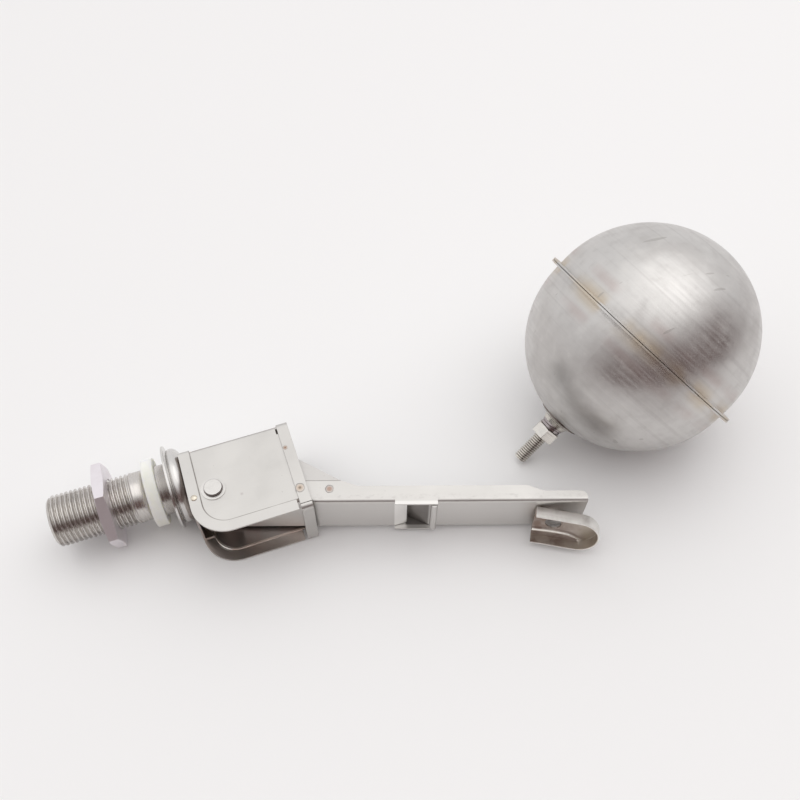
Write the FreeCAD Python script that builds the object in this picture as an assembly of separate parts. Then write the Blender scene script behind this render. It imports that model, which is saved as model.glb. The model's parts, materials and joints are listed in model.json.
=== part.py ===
"""Float valve lying on its side, with its ball float unscrewed and lying beside it.

Frame, in millimetres: the origin is the centre of the pipe's inlet end, +X runs along the pipe axis into
the valve and +Z is up. The valve is drawn level, with its side plates in the XY plane and its pivot along
Z, and is then rolled a few degrees about the pipe axis until the flange rim, a corner of the lock nut and
the lower corner of the end frame all rest on one table, flange_radius below the pipe axis.
"""
import FreeCAD, Part
import math
import os

Vector = FreeCAD.Vector
Rotation = FreeCAD.Rotation
Placement = FreeCAD.Placement
X_AXIS = Vector(1, 0, 0)
Y_AXIS = Vector(0, 1, 0)
Z_AXIS = Vector(0, 0, 1)
ORIGIN = Vector(0, 0, 0)

# How far a cutting body reaches past what it cuts
overcut = 1.0

# Driving dimensions: inlet pipe with a G1/2 thread
thread_radius = 20.955 / 2
thread_length = 33.0
thread_chamfer = 1.2
thread_play = 0.05
shank_radius = 10.3
pipe_bore_radius = 7.75
flange_x = 47.5
flange_radius = 17.3
flange_thickness = 1.5
flange_rim = 1.3
flange_dish = 2.2
pipe_end_x = 53.0

# Rounded drum between the flange and the housing
drum_x = flange_x + flange_thickness
drum_bead = 1.7
drum_inset = 0.8
drum_neck_inset = 4.5

# Lock nut and gasket on the pipe
nut_across_flats = 32.0
nut_chamfer_angle = 13.0
nut_face_share = 0.98
nut_thickness = 4.7
nut_x = 19.5
nut_bore_radius = thread_radius + thread_play
gasket_radius = 14.0
gasket_bore_radius = 10.55
gasket_thickness = 4.8
gasket_chamfer = 0.3
gasket_x = 38.3

# Housing, pressed from sheet
sheet = 0.8
bend_radius = 1.5
housing_x = 53.8
housing_end_x = 98.9
housing_low_y = -33.7
border_half_width = 14.8
border_web_y = 6.3
joggle = 0.5
border_width = 4.6
border_corner_radius = 14.0
panel_half_width = border_half_width - joggle
panel_web_y = border_web_y - joggle
panel_inner_z = panel_half_width - sheet
slot_width = 0.9
notch_width = 0.7
notch_depth = 4.0
end_wall_low_y = -20.3
tab_width = 4.4
tab_height = 3.0
rivet_x = housing_x + 2.2
rivet_y = -15.8
rivet_radius = 0.9
rivet_head_radius = 1.35
rivet_head_height = 0.55

# End frame round the housing's mouth
frame_width = 4.6
frame_x = housing_end_x - frame_width
frame_low_y = -34.1
frame_half_width = panel_half_width + sheet
frame_corner_radius = bend_radius + sheet
frame_seam = 0.2

# Pivot pin
pivot_x = 64.0
pivot_y = -14.0
pin_radius = 2.5
pin_head_radius = 3.55
pin_head_height = 1.3
pin_head_rounding = 0.3
pin_tail_flare = 0.7
pin_tail_height = 0.6
pin_washer_radius = 4.9
pin_washer_thickness = 0.4
turning_clearance = 0.05
spacer_radius = 4.5
spacer_play = 0.15

# Arm, drooped below the pipe axis while the valve is open; swinging up until it is level shuts the valve
arm_angle = -18.7
arm_swing = -arm_angle
arm_half_width = 11.75
arm_web = -4.8
arm_web_start = 8.0
arm_back = -6.0
arm_back_corner = 4.0
arm_root_rib = 4.4
arm_root_end = 50.0
arm_rib = 2.1
arm_rib_start = 56.5
arm_rib_end = 123.5
arm_tip_rib = -0.45
arm_tip_start = 130.0
arm_tip_corner = 2.6
arm_length = 147.0
window_start = 71.0
window_tab_end = 75.8
window_tab_drop = 1.4
window_end = 85.1
window_lip = 1.2
window_flap_end = 74.6
window_flap_depth = 5.2
window_root = 0.5
window_side_gap = 0.4
hem_width = 2.7
hem_height = 2.0
hem_corner = 1.2
hem_side_gap = 0.3

# Inner lever nested in the arm
lever_back = -5.5
lever_back_corner = 4.5
lever_top = 18.0
lever_web_start = 8.0
lever_slope_start = 26.2
lever_slope_end = 47.6
lever_slope_low = 6.0
lever_end = 50.5
push_pin_radius = 2.0
push_pin_arm = 14.0
lever_half_width = arm_half_width - sheet
lever_web = arm_web + sheet

# Seat and plunger on the pipe axis
seat_lip_x = 57.6
seat_back_x = 48.6
seat_plug_radius = 8.6
seat_spigot_radius = 4.25
orifice_radius = 2.75
seat_lip_width = 0.5
seat_lip_slope = 1.0
plunger_radius = 4.4
plunger_gap = 0.15
plunger_stem_length = 9.0
plunger_stem_radius = 1.4
plunger_corner = 0.4
wing_half_width = 0.45
wing_play = 0.1
wing_end_gap = 0.6
seal_radius = 3.9
seal_thickness = 1.6
seal_lift = 0.5
shut_gap = 0.02

# Clip for the float's stud, tilted and twisted on the arm so that it touches the web at one corner
clip_start = 127.1
clip_back = -6.5
clip_middle = -1.1
clip_tilt = -11.2
clip_twist = -11.6
clip_half_height = 8.8
clip_straight = 17.5
clip_depth = 5.6
clip_hole_radius = 3.3
clip_hole_x = 7.8
clip_weld_length = 3.2
clip_weld_inset = 1.0
clip_weld_reach = 5.0
stud_way_play = 0.4
stud_drill_reach = 8.0

# Ball float, pressed in two halves, and its stud
ball_radius = 45.2
ball_skirt = 2.75
ball_sheet = 0.5
lip_radius = 48.6
lip_thickness = 0.7
seam_thickness = 0.3
seam_inset = 0.8
seam_gap = 0.3
ball_x = 247.2
ball_y = -14.4
stud_heading = 192.9
stud_dip = 38.0
stud_radius = 3.0
stud_tip = 72.2
stud_point = 0.8
stud_root_depth = 4.0
boss_foot_radius = 9.5
boss_foot_edge = 0.5
boss_neck_radius = 5.9
boss_neck_height = 1.1
boss_seat_radius = 5.3
boss_depth = 3.0
boss_top = 50.6
float_nut_flats = 10.0
float_nut_thickness = 5.0
float_nut_corner_angle = 15.0
float_nut_gap = 0.02
flat_washer_radius = 5.0
flat_washer_thickness = 1.1
spring_washer_radius = 4.7
spring_washer_thickness = 1.5
spring_washer_gap = 0.7

stud_way_radius = stud_radius + turning_clearance
flat_washer_top = boss_top + flat_washer_thickness
spring_washer_top = flat_washer_top + spring_washer_thickness

pole = ball_radius + ball_skirt
table_z = -flange_radius


def push_pin_x(angle):
    """How far along the pipe axis the push pin is when the arm is at this angle."""
    return pivot_x - push_pin_arm * math.sin(math.radians(angle))


plunger_back_x = push_pin_x(arm_angle) - push_pin_radius - plunger_gap
plunger_travel = push_pin_x(arm_angle) - push_pin_x(arm_angle + arm_swing)
seal_face_x = seat_lip_x + plunger_travel + shut_gap
cup_front_x = seal_face_x + seal_lift


# Shapes

def box(x0, x1, y0, y1, z0, z1):
    return Part.makeBox(x1 - x0, y1 - y0, z1 - z0, Vector(x0, y0, z0))


def rod_x(x0, x1, radius, y=0.0, z=0.0):
    return Part.makeCylinder(radius, x1 - x0, Vector(x0, y, z), X_AXIS)


def rod_z(x, y, radius, z0, z1):
    return Part.makeCylinder(radius, z1 - z0, Vector(x, y, z0), Z_AXIS)


def turned_x(profile):
    """A solid of revolution about X from its half outline of (x, radius) points."""
    points = [Vector(x, r, 0) for x, r in profile]
    face = Part.Face(Part.makePolygon(points + points[:1]))
    return face.revolve(ORIGIN, X_AXIS, 360)


def turned_z(profile):
    """A solid of revolution about Z from its half outline of (radius, z) points."""
    points = [Vector(r, 0, z) for r, z in profile]
    face = Part.Face(Part.makePolygon(points + points[:1]))
    return face.revolve(ORIGIN, Z_AXIS, 360)


def prism(outline, z0, z1):
    """A flat plate with its (x, y) outline, from z0 to z1."""
    points = [Vector(x, y, z0) for x, y in outline]
    face = Part.Face(Part.makePolygon(points + points[:1]))
    return face.extrude(Vector(0, 0, z1 - z0))


def edges_along(solid, axis, near):
    """The solid's straight edges along axis that pass through one of the points in near."""
    found = []
    for edge in solid.Edges:
        if len(edge.Vertexes) < 2:
            continue
        start, end = edge.Vertexes[0].Point, edge.Vertexes[-1].Point
        along = end - start
        if along.Length < 1e-6 or abs(along.normalize().dot(axis)) < 0.999:
            continue
        for point in near:
            offset = point - start
            if (offset - axis * offset.dot(axis)).Length < 0.01:
                found.append(edge)
                break
    return found


def round_corners(plate, radius, corners):
    """The plate with its corners at the given (x, y) places rounded."""
    near = [Vector(x, y, 0) for x, y in corners]
    return plate.makeFillet(radius, edges_along(plate, Z_AXIS, near))


def round_box_x(x0, x1, y0, y1, half_width, radius, low_too=False):
    """A box along X whose upper edges, and lower ones if asked, are rounded."""
    solid = box(x0, x1, y0, y1, -half_width, half_width)
    near = [Vector(0, y1, side * half_width) for side in (-1, 1)]
    if low_too:
        near += [Vector(0, y0, side * half_width) for side in (-1, 1)]
    return solid.makeFillet(radius, edges_along(solid, X_AXIS, near))


def hexagon_x(x0, thickness, across_flats, corner_angle, bore_radius):
    """A hexagon nut along X with one corner at corner_angle from +Y, its corners chamfered on both faces."""
    corner_radius = across_flats / math.sqrt(3)
    points = []
    for step in range(7):
        angle = math.radians(corner_angle + 60 * step)
        points.append(Vector(x0, corner_radius * math.cos(angle), corner_radius * math.sin(angle)))
    blank = Part.Face(Part.makePolygon(points)).extrude(Vector(thickness, 0, 0))
    flat_radius = across_flats / 2 * nut_face_share
    drop = (corner_radius - flat_radius) * math.tan(math.radians(nut_chamfer_angle))
    envelope = turned_x([(x0, 0), (x0, flat_radius), (x0 + drop, corner_radius),
                         (x0 + thickness - drop, corner_radius), (x0 + thickness, flat_radius),
                         (x0 + thickness, 0)])
    return blank.common(envelope).cut(rod_x(x0 - overcut, x0 + thickness + overcut, bore_radius))


def mirrored(solid):
    """The solid joined by its mirror image across the valve's middle plane, z = 0."""
    return Part.makeCompound([solid, solid.mirror(ORIGIN, Z_AXIS)])


# Placements

def lie_angle():
    """The roll about the pipe axis that brings the end frame's lower corner down to the table."""
    y = frame_low_y + frame_corner_radius
    z = -(frame_half_width - frame_corner_radius)
    reach = math.hypot(y, z)
    return math.degrees(math.asin((flange_radius - frame_corner_radius) / reach) - math.atan2(-z, -y))


lying = Placement(ORIGIN, Rotation(X_AXIS, lie_angle()))
on_arm = lying.multiply(Placement(Vector(pivot_x, pivot_y, 0), Rotation(Z_AXIS, arm_angle)))
clip_turn = Rotation(Z_AXIS, clip_tilt).multiply(Rotation(X_AXIS, clip_twist))
on_clip = on_arm.multiply(Placement(Vector(clip_start, clip_back, clip_middle), clip_turn))


def stud_direction():
    heading, dip = math.radians(stud_heading), math.radians(stud_dip)
    return Vector(math.cos(dip) * math.cos(heading), math.cos(dip) * math.sin(heading), -math.sin(dip))


ball_z = table_z + ball_radius + ball_skirt * math.sin(math.radians(stud_dip))
on_float = Placement(Vector(ball_x, ball_y, ball_z), Rotation(Z_AXIS, stud_direction()))


def placed(solid, placement):
    copy = solid.copy()
    copy.Placement = placement.multiply(copy.Placement)
    return copy


# Inlet pipe, flange and what is screwed or slid onto the pipe

def inlet_pipe():
    outside = turned_x([(0, 0), (0, thread_radius - thread_chamfer), (thread_chamfer, thread_radius),
                        (thread_length, thread_radius), (thread_length, shank_radius),
                        (pipe_end_x, shank_radius), (pipe_end_x, 0)])
    return outside.cut([rod_x(-overcut, pipe_end_x + overcut, pipe_bore_radius),
                        rod_x(seat_back_x, pipe_end_x + overcut, seat_plug_radius)])


def lock_nut():
    corner_radius = nut_across_flats / math.sqrt(3)
    corner_angle = -math.degrees(math.asin(flange_radius / corner_radius)) - lie_angle()
    return hexagon_x(nut_x, nut_thickness, nut_across_flats, corner_angle, nut_bore_radius)


def seal_gasket():
    ring = rod_x(gasket_x, gasket_x + gasket_thickness, gasket_radius)
    ring = ring.makeChamfer(gasket_chamfer, [e for e in ring.Edges if len(e.Vertexes) == 1])
    return ring.cut(rod_x(gasket_x - overcut, gasket_x + gasket_thickness + overcut, gasket_bore_radius))


def mounting_flange():
    """A thin pressed disc, its rim square to the pipe and its back dished towards the housing."""
    return turned_x([(flange_x, shank_radius), (flange_x, flange_radius), (flange_x + sheet, flange_radius),
                     (flange_x + sheet, flange_radius - flange_rim), (drum_x, flange_radius - flange_dish),
                     (drum_x, shank_radius)])


def body_cap():
    """The rounded drum between the flange and the housing's end wall."""
    crest = flange_radius - drum_inset
    centre_x = drum_x + drum_bead
    rim = Part.makeTorus(crest - drum_bead, drum_bead, Vector(centre_x, 0, 0), X_AXIS)
    disc = rod_x(drum_x, centre_x + drum_bead, crest - drum_bead)
    neck = rod_x(centre_x, housing_x, crest - drum_neck_inset)
    drum = disc.fuse([rim, neck]).removeSplitter()
    drum = drum.cut(rod_x(flange_x, pipe_end_x, shank_radius))
    return drum.cut(rod_x(flange_x, housing_x + overcut, seat_spigot_radius))


# Housing

def u_channel(half_width, web_y):
    """The housing's sheet as a channel along X, open downwards along -Y."""
    low = housing_low_y - overcut
    outside = round_box_x(housing_x, housing_end_x, low, web_y, half_width, bend_radius)
    inside = round_box_x(housing_x - overcut, housing_end_x + overcut, low - overcut, web_y - sheet,
                         half_width - sheet, bend_radius - sheet)
    return outside.cut(inside)


def housing_shell():
    """Two side plates and a web in one sheet: a proud border at the inlet end and along the mouth."""
    far = 2 * border_half_width
    corner = (housing_x + border_width, housing_low_y + border_width)
    past_end = housing_end_x + overcut
    panel_area = prism([(corner[0], far), (past_end, far), (past_end, corner[1]), corner], -far, far)
    panel_area = round_corners(panel_area, border_corner_radius - border_width, [corner])
    low_corner = (housing_x, housing_low_y)
    outline = prism([(housing_x, far), (housing_end_x, far), (housing_end_x, housing_low_y), low_corner],
                    -far, far)
    outline = round_corners(outline, border_corner_radius, [low_corner])
    border = u_channel(border_half_width, border_web_y).cut(panel_area)
    panel = u_channel(panel_half_width, panel_web_y).common(panel_area)
    shell = border.fuse(panel).common(outline).removeSplitter()
    slot = box(frame_x - slot_width, past_end, housing_low_y - overcut, corner[1], -far, far)
    notch = box(frame_x - notch_width, frame_x, panel_web_y - notch_depth, panel_web_y - bend_radius,
                -far, far)
    shell = shell.cut([slot, notch, rod_z(pivot_x, pivot_y, pin_radius, -far, far)])
    return shell.cut(rivet_shanks(far))


def rivet_shanks(half_length):
    return rod_z(rivet_x, rivet_y, rivet_radius, -half_length, half_length)


def end_wall():
    """The wall that closes the inlet end, with a tab folded inside each side plate."""
    half = border_half_width - sheet
    wall = round_box_x(housing_x, housing_x + sheet, end_wall_low_y, border_web_y - sheet, half,
                       bend_radius - sheet)
    tab = box(housing_x, housing_x + tab_width, end_wall_low_y, rivet_y + tab_height, half - sheet, half)
    tabs = [tab, tab.mirror(ORIGIN, Z_AXIS)]
    wall = wall.fuse(tabs).removeSplitter()
    return wall.cut([rod_x(housing_x - overcut, housing_x + sheet + overcut, seat_spigot_radius),
                     rivet_shanks(half + overcut)])


def end_wall_rivets():
    ball = (rivet_head_radius ** 2 + rivet_head_height ** 2) / (2 * rivet_head_height)
    head = Part.makeSphere(ball, Vector(rivet_x, rivet_y, border_half_width + rivet_head_height - ball))
    reach = rivet_head_radius + overcut
    head = head.common(box(rivet_x - reach, rivet_x + reach, rivet_y - reach, rivet_y + reach,
                           border_half_width, border_half_width + reach))
    shank = rod_z(rivet_x, rivet_y, rivet_radius, border_half_width - 2 * sheet, border_half_width)
    return mirrored(shank.fuse(head))


def end_frame():
    """A strip bent round the housing's mouth, its ends meeting at the upper front corner."""
    x0, x1 = frame_x, housing_end_x
    outside = round_box_x(x0, x1, frame_low_y, panel_web_y + sheet, frame_half_width, frame_corner_radius,
                          low_too=True)
    inside = round_box_x(x0 - overcut, x1 + overcut, frame_low_y + sheet, panel_web_y, panel_half_width,
                         bend_radius, low_too=True)
    seam_y = frame_low_y + frame_corner_radius
    seam = box(x0 - overcut, x1 + overcut, seam_y - frame_seam / 2, seam_y + frame_seam / 2,
               panel_half_width - overcut, frame_half_width + overcut)
    return outside.cut([inside, seam])


# Pivot

def pivot_pin():
    top = panel_half_width + pin_washer_thickness
    shaft = rod_z(pivot_x, pivot_y, pin_radius, -top - pin_tail_height, top)
    head = rod_z(pivot_x, pivot_y, pin_head_radius, top, top + pin_head_height)
    rim = [e for e in head.Edges if len(e.Vertexes) == 1 and e.Vertexes[0].Z > top + pin_head_height / 2]
    head = head.makeFillet(pin_head_rounding, rim)
    tail = Part.makeCone(pin_radius, pin_radius + pin_tail_flare, pin_tail_height,
                         Vector(pivot_x, pivot_y, -top), -Z_AXIS)
    return head.fuse([shaft, tail]).removeSplitter()


def pin_washers():
    z0 = panel_half_width
    z1 = z0 + pin_washer_thickness
    ring = rod_z(pivot_x, pivot_y, pin_washer_radius, z0, z1)
    return mirrored(ring.cut(rod_z(pivot_x, pivot_y, pin_radius, 0, z1 + overcut)))


def pivot_spacers():
    ring = rod_z(pivot_x, pivot_y, spacer_radius, arm_half_width + spacer_play, panel_inner_z)
    return mirrored(ring.cut(rod_z(pivot_x, pivot_y, pin_radius, 0, 2 * panel_half_width)))


# Arm, drawn along X from the pivot, with its web facing -Y

def channel(profile, half_width, web, web_start, web_end, rounded):
    """Two flanges with the given side profile, joined by a web; rounded maps corners to their radii."""
    solid = prism(profile, -half_width, half_width)
    for corner, radius in rounded.items():
        solid = round_corners(solid, radius, [corner])
    bends = [Vector(0, web, side * half_width) for side in (-1, 1)]
    solid = solid.makeFillet(bend_radius, edges_along(solid, X_AXIS, bends))
    x0 = min(x for x, y in profile) - overcut
    x1 = max(x for x, y in profile) + overcut
    y1 = max(y for x, y in profile) + overcut
    inner = half_width - sheet
    hollow = box(x0, x1, web + sheet, y1, -inner, inner)
    near = [Vector(0, web + sheet, side * inner) for side in (-1, 1)]
    hollow = hollow.makeFillet(bend_radius - sheet, edges_along(hollow, X_AXIS, near))
    return solid.cut([hollow, box(x0, web_start, web - overcut, y1, -inner, inner),
                      box(web_end, x1, web - overcut, y1, -inner, inner)])


def arm_channel():
    profile = [(arm_back, arm_web), (arm_back, arm_root_rib), (arm_root_end, arm_root_rib),
               (arm_rib_start, arm_rib), (arm_rib_end, arm_rib), (arm_tip_start, arm_tip_rib),
               (arm_length, arm_tip_rib), (arm_length, arm_web)]
    corners = {(arm_back, arm_root_rib): arm_back_corner, (arm_length, arm_tip_rib): arm_tip_corner}
    arm = channel(profile, arm_half_width, arm_web, arm_web_start, arm_length, corners)
    inner = arm_half_width - sheet
    window = box(window_start, window_end, arm_web - overcut, arm_web + bend_radius, -inner, inner)
    arm = arm.cut(window).fuse(window_folds(inner)).removeSplitter()
    stud_way = placed(stud_drill(clip_hole_radius + stud_way_play), on_arm.inverse().multiply(on_clip))
    half = arm_half_width + overcut
    return arm.cut([rod_z(0, 0, pin_radius + turning_clearance, -half, half), stud_way])


def window_folds(inner):
    """What is folded out of the arm's window: a tab, a flap, a rolled hem and a lip on each side."""
    half = inner - window_side_gap
    tab_x = window_start - window_root
    tab_y = arm_web + window_tab_drop
    tab = prism([(tab_x, arm_web), (window_start, arm_web), (window_tab_end, tab_y),
                 (window_tab_end, tab_y + sheet), (tab_x, arm_web + sheet)], -half, half)
    flap_x = window_end + window_root
    flap_y = arm_web + window_flap_depth
    flap = prism([(flap_x, arm_web), (flap_x, arm_web + sheet), (window_flap_end, flap_y + sheet),
                  (window_flap_end, flap_y)], -half, half)
    hem_end = window_end + hem_width
    hem_y = arm_web - hem_height
    hem = prism([(window_end, arm_web + sheet), (window_end, hem_y), (hem_end, hem_y),
                 (hem_end, arm_web + sheet)], hem_side_gap - inner, inner - hem_side_gap)
    hem = round_corners(hem, hem_corner, [(window_end, hem_y), (hem_end, hem_y)])
    lip = box(window_start, hem_end, arm_web - window_lip, arm_web + bend_radius, inner, arm_half_width)
    return [tab, flap, hem, lip, lip.mirror(ORIGIN, Z_AXIS)]


def inner_lever():
    """The lever riding inside the arm: its cheeks rise past the pivot to hold the push pin."""
    profile = [(lever_back, lever_web), (lever_back, lever_top), (lever_slope_start, lever_top),
               (lever_slope_end, lever_slope_low), (lever_end, arm_root_rib), (lever_end, lever_web)]
    lever = channel(profile, lever_half_width, lever_web, lever_web_start, lever_end,
                    {(lever_back, lever_top): lever_back_corner})
    half = lever_half_width + overcut
    return lever.cut([rod_z(0, 0, pin_radius + turning_clearance, -half, half),
                      rod_z(0, push_pin_arm, push_pin_radius, -half, half)])


def push_pin():
    return rod_z(0, push_pin_arm, push_pin_radius, -lever_half_width, lever_half_width)


# Seat, plunger and rubber seal, in the open position

def valve_seat():
    """The nozzle: a plug pressed against a shoulder in the pipe, and a spigot that ends in the seat's lip."""
    lip_outer_radius = orifice_radius + seat_lip_width
    body = turned_x([(seat_back_x, 0), (seat_back_x, seat_plug_radius), (pipe_end_x, seat_plug_radius),
                     (pipe_end_x, seat_spigot_radius), (seat_lip_x - seat_lip_slope, seat_spigot_radius),
                     (seat_lip_x, lip_outer_radius), (seat_lip_x, 0)])
    return body.cut(rod_x(seat_back_x - overcut, seat_lip_x + overcut, orifice_radius))


def plunger():
    """A cup for the seal, guided by a four-winged stem in the seat's bore."""
    cup = rod_x(cup_front_x, plunger_back_x, plunger_radius)
    middle_x = (cup_front_x + plunger_back_x) / 2
    back_rim = [e for e in cup.Edges if len(e.Vertexes) == 1 and e.Vertexes[0].X > middle_x]
    cup = cup.makeFillet(plunger_corner, back_rim)
    cup = cup.cut(rod_x(cup_front_x - overcut, seal_face_x + seal_thickness, seal_radius))
    stem_start = seal_face_x - plunger_stem_length
    stem = rod_x(stem_start, plunger_back_x - plunger_corner, plunger_stem_radius)
    wings = rod_x(stem_start, seal_face_x - wing_end_gap, orifice_radius - wing_play)
    half, wide = wing_half_width, orifice_radius + overcut
    cross = box(stem_start - overcut, seal_face_x, -half, half, -wide, wide)
    cross = cross.fuse(box(stem_start - overcut, seal_face_x, -wide, wide, -half, half))
    return cup.fuse([stem, wings.common(cross)]).removeSplitter()


def seal_disc():
    ring = rod_x(seal_face_x, seal_face_x + seal_thickness, seal_radius)
    return ring.cut(rod_x(seal_face_x - overcut, seal_face_x + seal_thickness + overcut,
                          plunger_stem_radius))


# Clip at the arm's end, drawn along X from its open end, with its tray facing -Y

def stud_drill(radius):
    """A drill through the clip's floor, long enough to pass the arm's web too."""
    return Part.makeCylinder(radius, clip_depth + stud_drill_reach, Vector(clip_hole_x, -clip_depth, 0),
                             Y_AXIS)


def clip_block(start, depth_start, depth_end, half_height):
    """A bar with a half-round nose, the outside or the hollow of the clip's tray."""
    bar = box(start, clip_straight, depth_start, depth_end, -half_height, half_height)
    nose = Part.makeCylinder(half_height, depth_end - depth_start, Vector(clip_straight, depth_start, 0),
                             Y_AXIS)
    return bar.fuse(nose)


def behind_web(half_width):
    """All that lies behind the outer face of the arm's web, in the clip's own axes."""
    behind = box(0, 2 * arm_length, arm_web, 2 * arm_half_width, -half_width, half_width)
    return placed(behind, on_clip.inverse().multiply(on_arm))


def clip_weld():
    """The weld between the tray's back and the arm's web, which is its flat far face."""
    half = clip_half_height - clip_weld_inset
    weld = box(0, clip_weld_length, -sheet / 2, clip_weld_reach, -half, half)
    return weld.cut(behind_web(2 * half))


def float_clip():
    """A pressed tray: a drilled floor with a lip all round it except at the end towards the pivot."""
    outside = clip_block(0, -clip_depth, 0, clip_half_height)
    hollow = clip_block(-overcut, -clip_depth - overcut, -sheet, clip_half_height - sheet)
    tray = outside.cut([hollow, stud_drill(clip_hole_radius)]).cut(behind_web(arm_half_width))
    return tray.fuse(clip_weld()).removeSplitter()


# Ball float, drawn with its stud along +Z from the ball's centre

def ball_half():
    """One pressed half: a dome, a short straight skirt and a lip turned outwards."""
    wide = ball_radius + overcut

    def dome(radius):
        skirt = Part.makeCylinder(radius, ball_skirt)
        cap = Part.makeSphere(radius, Vector(0, 0, ball_skirt))
        keep = box(-wide, wide, -wide, wide, ball_skirt, pole + overcut)
        return skirt.fuse(cap.common(keep))

    lip_z = seam_thickness / 2
    lip = Part.makeCylinder(lip_radius, lip_thickness, Vector(0, 0, lip_z))
    below = box(-wide, wide, -wide, wide, -overcut, lip_z)
    shell = dome(ball_radius).cut(below).fuse(lip)
    return shell.cut(dome(ball_radius - ball_sheet)).removeSplitter()


def ball_stud_half():
    return ball_half().cut(Part.makeCylinder(stud_radius, 2 * overcut, Vector(0, 0, pole - overcut)))


def ball_outer_half():
    return ball_half().mirror(ORIGIN, Z_AXIS)


def ball_seam():
    """The weld that seals the two lips, a little inside their edge."""
    z0 = -seam_thickness / 2
    ring = Part.makeCylinder(lip_radius - seam_inset, seam_thickness, Vector(0, 0, z0))
    return ring.cut(Part.makeCylinder(ball_radius + seam_gap, seam_thickness + 2 * overcut,
                                      Vector(0, 0, z0 - overcut)))


def stud_boss():
    """A dished collar welded over the ball's pole, rising to a flat seat for the washer."""
    foot_z = ball_skirt + math.sqrt(ball_radius ** 2 - boss_foot_radius ** 2)
    inner_z = ball_radius - boss_depth
    collar = turned_z([(stud_radius, inner_z), (boss_foot_radius, inner_z),
                       (boss_foot_radius, foot_z + boss_foot_edge),
                       (boss_neck_radius, pole + boss_neck_height), (boss_seat_radius, boss_top),
                       (stud_radius, boss_top)])
    return collar.cut(Part.makeSphere(ball_radius, Vector(0, 0, ball_skirt)))


def float_stud():
    root = pole - stud_root_depth
    return turned_z([(0, root), (stud_radius, root), (stud_radius, stud_tip - stud_point),
                     (stud_radius - stud_point, stud_tip), (0, stud_tip)])


def bored_ring(radius, z0, z1):
    """A ring round the stud, free to slide on it."""
    ring = Part.makeCylinder(radius, z1 - z0, Vector(0, 0, z0))
    bore = Part.makeCylinder(stud_way_radius, z1 - z0 + 2 * overcut, Vector(0, 0, z0 - overcut))
    return ring.cut(bore)


def flat_washer():
    return bored_ring(flat_washer_radius, boss_top, flat_washer_top)


def spring_washer():
    """A ring split at one place."""
    half_gap = spring_washer_gap / 2
    split = box(0, spring_washer_radius + overcut, -half_gap, half_gap, flat_washer_top - overcut,
                spring_washer_top + overcut)
    return bored_ring(spring_washer_radius, flat_washer_top, spring_washer_top).cut(split)


def stud_nut():
    nut = hexagon_x(spring_washer_top + float_nut_gap, float_nut_thickness, float_nut_flats,
                    float_nut_corner_angle, stud_way_radius)
    return placed(nut, Placement(ORIGIN, Rotation(X_AXIS, Z_AXIS)))


nodes = [
    (lying, [inlet_pipe, lock_nut, seal_gasket, mounting_flange, body_cap, housing_shell, end_wall,
             end_wall_rivets, end_frame, pivot_pin, pin_washers, pivot_spacers, valve_seat, plunger,
             seal_disc]),
    (on_arm, [arm_channel, inner_lever, push_pin]),
    (on_clip, [float_clip]),
    (on_float, [ball_stud_half, ball_outer_half, ball_seam, stud_boss, float_stud, flat_washer,
                spring_washer, stud_nut]),
]

os.makedirs("parts", exist_ok=True)
for placement, makers in nodes:
    for make in makers:
        placed(make(), placement).exportStep("parts/" + make.__name__ + ".step")
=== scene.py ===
"""Looks for the float valve: finishes for its CAD nodes, and threads, washers, the drum, the clip and the
welds in mesh code.

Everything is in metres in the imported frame. "Valve space" below is the valve before it is rolled about its
pipe axis to lie on the table: X along the pipe, and Z along the pivot.
"""
import bmesh
import bpy
import json
import math
from mathutils import Matrix, Vector


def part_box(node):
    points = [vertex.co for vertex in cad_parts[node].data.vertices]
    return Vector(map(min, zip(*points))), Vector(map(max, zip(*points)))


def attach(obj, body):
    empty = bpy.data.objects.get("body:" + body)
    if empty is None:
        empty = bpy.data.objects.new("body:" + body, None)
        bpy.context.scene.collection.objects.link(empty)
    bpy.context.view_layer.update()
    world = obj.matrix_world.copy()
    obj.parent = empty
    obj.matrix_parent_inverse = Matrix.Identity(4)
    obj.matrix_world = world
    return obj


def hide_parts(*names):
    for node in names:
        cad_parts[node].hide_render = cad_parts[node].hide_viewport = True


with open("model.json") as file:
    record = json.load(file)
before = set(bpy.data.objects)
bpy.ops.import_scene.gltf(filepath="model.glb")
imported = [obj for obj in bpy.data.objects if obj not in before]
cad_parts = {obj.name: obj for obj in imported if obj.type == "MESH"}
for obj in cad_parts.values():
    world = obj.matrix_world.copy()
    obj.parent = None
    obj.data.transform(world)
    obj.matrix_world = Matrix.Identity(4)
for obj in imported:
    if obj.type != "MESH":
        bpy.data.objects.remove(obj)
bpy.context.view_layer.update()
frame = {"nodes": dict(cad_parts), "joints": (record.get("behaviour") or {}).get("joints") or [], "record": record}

MM = 0.001
nodes = frame["nodes"]
mounts = {mount["name"]: mount for mount in frame["record"]["mounts"]}
joints = {joint["name"]: joint for joint in frame["joints"]}

# Places, read from the frame
pivot_axis = Vector(joints["arm_pivot"]["axis"])
pivot = Vector(joints["arm_pivot"]["pos_m"])
lie_angle = math.atan2(-pivot_axis.y, pivot_axis.z)
lying = Matrix.Rotation(lie_angle, 4, "X")
stud_axis = Vector(mounts["float_stud"]["axis"])
ball_centre = (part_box("ball_seam")[0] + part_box("ball_seam")[1]) / 2
table_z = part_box("mounting_flange")[0].z

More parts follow.
